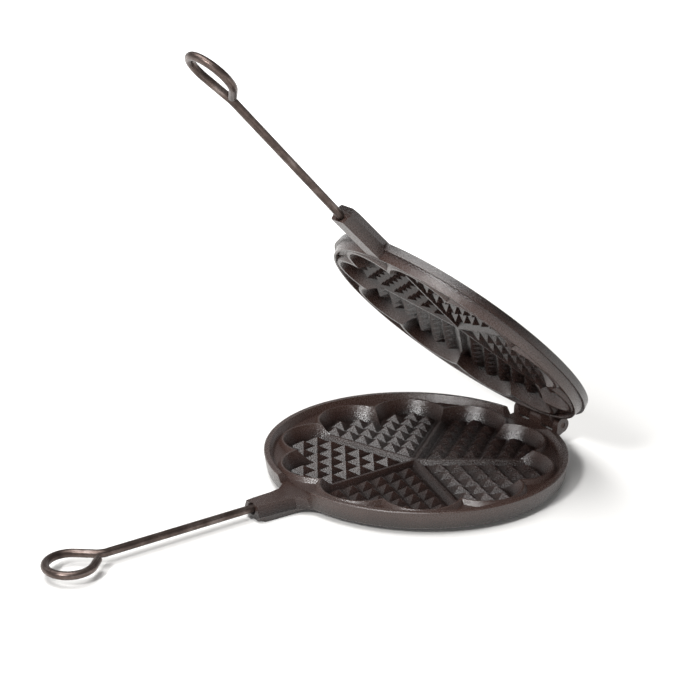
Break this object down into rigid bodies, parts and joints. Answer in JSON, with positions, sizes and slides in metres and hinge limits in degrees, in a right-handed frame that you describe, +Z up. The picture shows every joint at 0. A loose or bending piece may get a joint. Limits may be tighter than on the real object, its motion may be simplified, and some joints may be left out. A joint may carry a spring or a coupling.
{
  "type": "stovetop waffle iron",
  "caption": "Round cast iron stovetop waffle iron: hinged plates with heart-shaped cells and long steel rod handles that end in loops.",
  "frame": {"origin": "centre of the base plate's flat underside, on the surface it stands on", "axes": "+Z up out of the surface, the handles run along -X, the hinge axis lies along Y at the +X side"},
  "size_m": [0.4037, 0.21, 0.3097],
  "materials": {
    "cast_iron": "satin",
    "rod_steel": "satin",
    "pin_steel": "satin"
  },
  "bodies": {
    "base": {"base_plate": "cast_iron", "base_handle": "rod_steel", "hinge_pin": "pin_steel"},
    "lid": {"lid_plate": "cast_iron", "lid_handle": "rod_steel"}
  },
  "joints": [
    {"name": "lid_hinge", "type": "hinge", "parent": "base", "child": "lid", "pos_m": [0.11, -0.008, 0.0171], "axis": [0, 1, 0], "range_deg": [-44.35, 135.65]}
  ]
}
